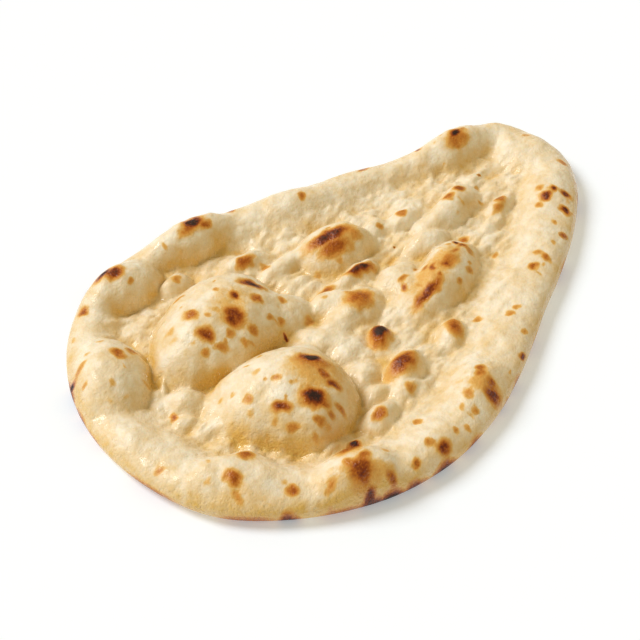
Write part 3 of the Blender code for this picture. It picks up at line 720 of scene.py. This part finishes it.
def loaf_points_and_faces(loaf):
    """The closed mesh of the whole loaf: underside, rounded edge and blistered top."""
    coarseness = 1.0
    spacing = TOP_SPACING * coarseness
    around = round(loop_length(loaf.outline) / spacing)
    outline = evenly_spaced(loaf.outline, around)
    loops = []
    for step in range(BOTTOM_EDGE_STEPS, 0, -1):
        angle = math.pi / 2 * step / BOTTOM_EDGE_STEPS
        flat = edge_loop(outline, EDGE_ROUND_BOTTOM, angle)
        loops.append(np.column_stack((flat, np.full(around, EDGE_HEIGHT * (1 - math.sin(angle))))))
    loops.append(np.column_stack((outline, np.full(around, EDGE_HEIGHT))))
    for step in range(1, TOP_EDGE_STEPS + 1):
        angle = math.pi / 2 * step / TOP_EDGE_STEPS
        loops.append(loaf.upper_surface(edge_loop(outline, EDGE_ROUND_TOP, angle)))

    points = list(loops)
    faces = []
    corners = np.arange(around)
    following = (corners + 1) % around
    for ring in range(len(loops) - 1):
        low, high = ring * around, (ring + 1) * around
        faces.append(np.column_stack((low + corners, low + following, high + following)))
        faces.append(np.column_stack((low + corners, high + following, high + corners)))

    count = len(loops) * around
    for ring, step, upper in ((len(loops) - 1, spacing, True), (0, UNDERSIDE_SPACING * coarseness, False)):
        border = loops[ring][:, :2]
        inner = grid_inside(border, step)
        near_border = kdtree.KDTree(around)
        for index, (x, y) in enumerate(border):
            near_border.insert((x, y, 0.0), index)
        near_border.balance()
        clear = np.array([near_border.find((x, y, 0.0))[2] > LEAST_GAP * spacing for x, y in inner])
        inner = inner[clear]
        numbers = np.concatenate((ring * around + corners, count + np.arange(len(inner))))
        triangles = numbers[triangles_inside(border, inner)]
        faces.append(triangles if upper else triangles[:, ::-1])
        points.append(loaf.upper_surface(inner) if upper else np.column_stack((inner, np.zeros(len(inner)))))
        count += len(inner)
    return np.vstack(points), np.vstack(faces)


class Value:
    """One output of a shader node, with the arithmetic that expressions need."""

    def __init__(self, graph, output):
        self.graph = graph
        self.output = output

    def math(self, operation, *values, clamp=False):
        return self.graph.node(
            "ShaderNodeMath", {"operation": operation, "use_clamp": clamp}, dict(enumerate(values))
        )

    def __add__(self, other):
        return self.math("ADD", self, other)

    def __radd__(self, other):
        return self.math("ADD", other, self)

    def __sub__(self, other):
        return self.math("SUBTRACT", self, other)

    def __rsub__(self, other):
        return self.math("SUBTRACT", other, self)

    def __mul__(self, other):
        return self.math("MULTIPLY", self, other)

    def __rmul__(self, other):
        return self.math("MULTIPLY", other, self)

    def clamped(self):
        """The value kept between 0 and 1."""
        return self.math("ADD", self, 0.0, clamp=True)

    def twice_from_middle(self):
        """How far the value is from a half, as a share of a half."""
        return self.math("ABSOLUTE", self * 2 - 1)

    def between(self, low, high):
        """0 below low, 1 above high, and an S-curve between."""
        return self.graph.node(
            "ShaderNodeMapRange", {"interpolation_type": "SMOOTHSTEP"},
            {"Value": self, "From Min": low, "From Max": high},
        )


class Graph:
    """The node tree of one material."""

    def __init__(self, name):
        self.material = bpy.data.materials.new(name)
        self.material.use_nodes = True
        self.tree = self.material.node_tree
        self.shader = self.tree.nodes["Principled BSDF"]

    def set_socket(self, socket, value):
        """Links a Value to a socket, or sets the socket to a number or colour."""
        if isinstance(value, Value):
            self.tree.links.new(value.output, socket)
        elif socket.type == "RGBA":
            socket.default_value = (*value, 1.0)[:4]
        else:
            socket.default_value = value

    def node(self, kind, settings=None, inputs=None, output=0):
        """A new node of any kind: its settings first, then its inputs by name or number."""
        node = self.tree.nodes.new(kind)
        for name, setting in (settings or {}).items():
            if name == "stops":
                self.set_stops(node.color_ramp, setting)
            else:
                setattr(node, name, setting)
        for key, value in (inputs or {}).items():
            self.set_socket(node.inputs[key], value)
        return Value(self, node.outputs[output])

    def set_stops(self, ramp, stops):
        """Gives a colour ramp its stops: (position, colour) from low to high."""
        while len(ramp.elements) < len(stops):
            ramp.elements.new(1.0)
        for element, (position, colour) in zip(ramp.elements, stops):
            element.position = position
            element.color = (*colour, 1.0)

    def mix(self, colour, other, share):
        """A colour turned towards another by a share from 0 to 1."""
        settings = {"data_type": "RGBA"}
        return self.node("ShaderNodeMix", settings, {"Factor": share, 6: colour, 7: other}, output=2)

    def attribute(self, name):
        """A value stored at the points of the mesh."""
        return self.node("ShaderNodeAttribute", {"attribute_name": name}, output="Fac")

    def grain(self, coordinates, size, detail=2.0, roughness=0.5):
        """Noise from 0 to 1 with lumps of about the given size."""
        inputs = {"Vector": coordinates, "Scale": 1 / size, "Detail": detail, "Roughness": roughness}
        return self.node("ShaderNodeTexNoise", {}, inputs, output="Fac")

    def set_shader(self, **inputs):
        """Sets the main shader's sockets, with spaces in their names written as underscores."""
        for name, value in inputs.items():
            self.set_socket(self.shader.inputs[name.replace("_", " ")], value)


# Sizes of the crust's grains, and how finely broken up the coarser ones are.
PORES = 0.0005
FINE = 0.0010
WRINKLES = 0.0024
MEDIUM = 0.0032
BROAD = 0.011
COARSE_DETAIL = 3.0

# How golden the dough is: everywhere, painted shade in folds and on walls, and by mottles and broad patches.
GOLD_BASE = 0.24
PAINTED_SHADE_IN_FOLDS = 0.95
GOLD_MOTTLES = 0.8
GOLD_PATCHES = 1.2

# How ragged the browning is, the burns that it sets in over, and the burn of each of its colours.
BROWNING_FINE = 0.7
BROWNING_MEDIUM = 0.8
BROWNING_SETS_IN = (0.03, 0.15)
BROWNING_STOPS = {"tan": 0.10, "toast": 0.27, "brown": 0.45, "dark": 0.64, "char": 0.88}

# The relief of the crust: its depth, each grain's share, and the wrinkles' share in folds and where burnt.
RELIEF_DEPTH = 0.00085
RELIEF_PORES = 0.07
RELIEF_FINE = 0.22
RELIEF_MEDIUM = 0.7
WRINKLES_IN_FOLDS = 1.1
WRINKLES_WHERE_BURNT = 0.6
WRINKLED_BURNS = (0.15, 0.5)

# The gloss: the roughness of pale dough, how it changes in folds, on brown and on black crust and with the
# burns that those set in over, and how much oil lies on the crust and how smooth it is.
ROUGHNESS = 0.40
ROUGHNESS_MOTTLES = 0.4
SMOOTHER_IN_FOLDS = 0.14
SMOOTHER_WHERE_BROWN = 0.1
BROWN_BURNS = (0.1, 0.4)
ROUGHER_WHERE_BLACK = 0.3
BLACK_BURNS = (0.6, 0.9)
OIL_IN_FOLDS = 1.3
OIL_MOTTLES = 2.2
OIL_LOST_TO_BURNS = 1.5
OIL_ROUGHNESS = 0.11


def crust_material(looks):
    """Pale, faintly oiled baked dough with golden painted shade in its folds, and soft-edged scorch marks."""
    graph = Graph("naan crust")
    place_on_loaf = graph.node("ShaderNodeTexCoord", output="Object")
    burn = graph.attribute("burn")
    sheltered = graph.attribute("sheltered")
    fine = graph.grain(place_on_loaf, FINE)
    medium = graph.grain(place_on_loaf, MEDIUM, detail=COARSE_DETAIL)
    broad = graph.grain(place_on_loaf, BROAD)
    fine_swing, medium_swing, broad_swing = fine - 0.5, medium - 0.5, broad - 0.5

    # Golden painted shade in folds and on steep walls, plus the dough's own golden mottles and patches.
    gold = GOLD_BASE + PAINTED_SHADE_IN_FOLDS * sheltered + GOLD_MOTTLES * medium_swing + GOLD_PATCHES * broad_swing
    dough = graph.mix(tuple(looks.dough), tuple(looks.golden), gold.clamped())
    broken = burn * (1 + BROWNING_FINE * fine_swing + BROWNING_MEDIUM * medium_swing)
    stops = [(position, tuple(getattr(looks, name))) for name, position in BROWNING_STOPS.items()]
    browned = graph.node("ShaderNodeValToRGB", {"stops": stops}, {"Fac": broken})
    colour = graph.mix(dough, browned, broken.between(*BROWNING_SETS_IN))

    wrinkles = graph.grain(place_on_loaf, WRINKLES, detail=COARSE_DETAIL).twice_from_middle()
    wrinkled = WRINKLES_IN_FOLDS * sheltered + WRINKLES_WHERE_BURNT * burn.between(*WRINKLED_BURNS)
    pores = graph.grain(place_on_loaf, PORES)
    relief = RELIEF_FINE * fine + RELIEF_MEDIUM * medium + RELIEF_PORES * pores - wrinkles * wrinkled
    bump = graph.node("ShaderNodeBump", {}, {"Strength": 1.0, "Distance": RELIEF_DEPTH, "Height": relief})

    dough_roughness = ROUGHNESS + ROUGHNESS_MOTTLES * medium_swing - SMOOTHER_IN_FOLDS * sheltered
    smoother = SMOOTHER_WHERE_BROWN * burn.between(*BROWN_BURNS)
    rougher = ROUGHER_WHERE_BLACK * burn.between(*BLACK_BURNS)
    oil = OIL_IN_FOLDS * sheltered + OIL_MOTTLES * medium_swing - OIL_LOST_TO_BURNS * burn
    graph.set_shader(
        Base_Color=colour,
        Roughness=dough_roughness - smoother + rougher,
        Coat_Weight=oil.clamped(),
        Coat_Roughness=OIL_ROUGHNESS,
        Normal=bump,
        Subsurface_Weight=0.08,
        Subsurface_Radius=(0.9, 0.55, 0.25),
        Subsurface_Scale=0.002,
        Specular_IOR_Level=0.32,
    )
    return graph.material


FLOOR_GLOW_COLOUR = (0.93, 1.0, 1.09)


def floor_material(looks):
    """Plain matt floor, clear from below so that the underside shows."""
    graph = Graph("studio floor")
    graph.set_shader(
        Base_Color=tuple(looks.floor),
        Roughness=0.9,
        Specular_IOR_Level=0.0,
        Emission_Color=FLOOR_GLOW_COLOUR,
        Emission_Strength=looks.floor_glow,
    )
    below = graph.node("ShaderNodeNewGeometry", output="Backfacing")
    clear = graph.node("ShaderNodeBsdfTransparent")
    matt = Value(graph, graph.shader.outputs["BSDF"])
    seen = graph.node("ShaderNodeMixShader", {}, {0: below, 1: matt, 2: clear})
    graph.set_socket(graph.tree.nodes["Material Output"].inputs["Surface"], seen)
    return graph.material


class NAAN_OT_loaf(bpy.types.Operator):
    """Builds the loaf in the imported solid's place"""

    bl_idname = "naan.loaf"
    bl_label = "Build the loaf"

    def execute(self, context):
        scene = context.scene
        loaf = Loaf(scene.naan_shape)
        points, faces = loaf_points_and_faces(loaf)
        data = bpy.data.meshes.new("naan_loaf")
        data.from_pydata((points + (*MIDDLE, BASE)).tolist(), [], faces.tolist())
        data.shade_smooth()
        # The mesh carries how burnt each point is and how much golden painted shade it takes.
        for name, values in (("burn", burn_of(points)), ("sheltered", painted_fold_shade(loaf, points[:, :2]))):
            data.attributes.new(name, "FLOAT", "POINT").data.foreach_set("value", values)
        data.materials.append(crust_material(scene.naan_looks))
        piece = bpy.data.objects.new("naan_loaf", data)
        scene.collection.objects.link(piece)
        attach(piece, "root")
        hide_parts("naan")
        return {"FINISHED"}


# The camera: its azimuth and elevation in degrees, its distance in lengths of the loaf, its lens in
# millimetres, and the place it is aimed at.
CAMERA_AZIMUTH = -48.74
CAMERA_ELEVATION = 44.5
CAMERA_DISTANCE = 2.82
CAMERA_LENS = 100.8
CAMERA_AIM = (-0.1393, 0.0618)

# The floor's size in lengths of the loaf and its gap under the loaf, and for the main light where it comes
# from, how wide it is in degrees, and its colour.
FLOOR_SIZE = 60.0
FLOOR_GAP = 0.0001
KEY_DIRECTION = (-0.36, 0.84, 0.95)
KEY_ANGLE = 28
KEY_COLOUR = (1.0, 0.99, 0.97)


class NAAN_OT_studio(bpy.types.Operator):
    """Builds the floor, the lights and the camera"""

    bl_idname = "naan.studio"
    bl_label = "Build the studio"

    def execute(self, context):
        scene = context.scene
        looks = scene.naan_studio
        scene.view_settings.view_transform = "Standard"
        self.add_floor(scene, looks)
        self.add_lights(scene, looks)
        self.add_camera(scene)
        return {"FINISHED"}

    def add_floor(self, scene, looks):
        mesh = bmesh.new()
        bmesh.ops.create_grid(mesh, x_segments=1, y_segments=1, size=FLOOR_SIZE * LENGTH / 2)
        data = bpy.data.meshes.new("studio_floor")
        mesh.to_mesh(data)
        mesh.free()
        data.materials.append(floor_material(looks))
        floor = bpy.data.objects.new("studio_floor", data)
        floor.location = (MIDDLE[0], MIDDLE[1], BASE - FLOOR_GAP)
        scene.collection.objects.link(floor)

    def add_lights(self, scene, looks):
        world = bpy.data.worlds.new("studio sky")
        world.use_nodes = True
        background = world.node_tree.nodes["Background"]
        background.inputs["Color"].default_value = (*looks.sky_colour, 1.0)
        background.inputs["Strength"].default_value = looks.sky
        scene.world = world

        data = bpy.data.lights.new("studio key", "SUN")
        data.energy = looks.key
        data.angle = math.radians(KEY_ANGLE)
        data.color = KEY_COLOUR
        key = bpy.data.objects.new("studio key", data)
        key.rotation_euler = Vector(KEY_DIRECTION).to_track_quat("Z", "Y").to_euler()
        scene.collection.objects.link(key)

    def add_camera(self, scene):
        azimuth, elevation = math.radians(CAMERA_AZIMUTH), math.radians(CAMERA_ELEVATION)
        back = Vector((
            math.sin(azimuth) * math.cos(elevation),
            -math.cos(azimuth) * math.cos(elevation),
            math.sin(elevation),
        ))
        aim = Vector((*(MIDDLE + place(*CAMERA_AIM)), BASE))
        data = bpy.data.cameras.new("studio camera")
        data.lens = CAMERA_LENS
        data.clip_start = 0.01
        camera = bpy.data.objects.new("studio camera", data)
        camera.location = aim + back * CAMERA_DISTANCE * LENGTH
        camera.rotation_euler = back.to_track_quat("Z", "Y").to_euler()
        scene.collection.objects.link(camera)
        scene.camera = camera


class NAAN_PT_sidebar(bpy.types.Panel):
    """Lists the operators and the settings"""

    bl_label = "Naan bread"
    bl_idname = "NAAN_PT_sidebar"
    bl_space_type = "VIEW_3D"
    bl_region_type = "UI"
    bl_category = "Naan"

    def draw(self, context):
        scene = context.scene
        for operator, groups in (
            ("naan.loaf", (scene.naan_shape, scene.naan_looks)),
            ("naan.studio", (scene.naan_studio,)),
        ):
            box = self.layout.box()
            box.operator(operator)
            for group in groups:
                for name in group.__annotations__:
                    box.prop(group, name)


CLASSES = (LoafShape, LoafLooks, StudioLooks, NAAN_OT_loaf, NAAN_OT_studio, NAAN_PT_sidebar)


def register():
    """Adds the classes and the scene's settings to Blender."""
    for kind in CLASSES:
        bpy.utils.register_class(kind)
    bpy.types.Scene.naan_shape = PointerProperty(type=LoafShape)
    bpy.types.Scene.naan_looks = PointerProperty(type=LoafLooks)
    bpy.types.Scene.naan_studio = PointerProperty(type=StudioLooks)


def unregister():
    """Takes them out again."""
    del bpy.types.Scene.naan_studio
    del bpy.types.Scene.naan_looks
    del bpy.types.Scene.naan_shape
    for kind in reversed(CLASSES):
        bpy.utils.unregister_class(kind)


def main():
    """Builds everything."""
    register()
    bpy.ops.naan.loaf()
    bpy.ops.naan.studio()


if __name__ == "__main__":
    main()
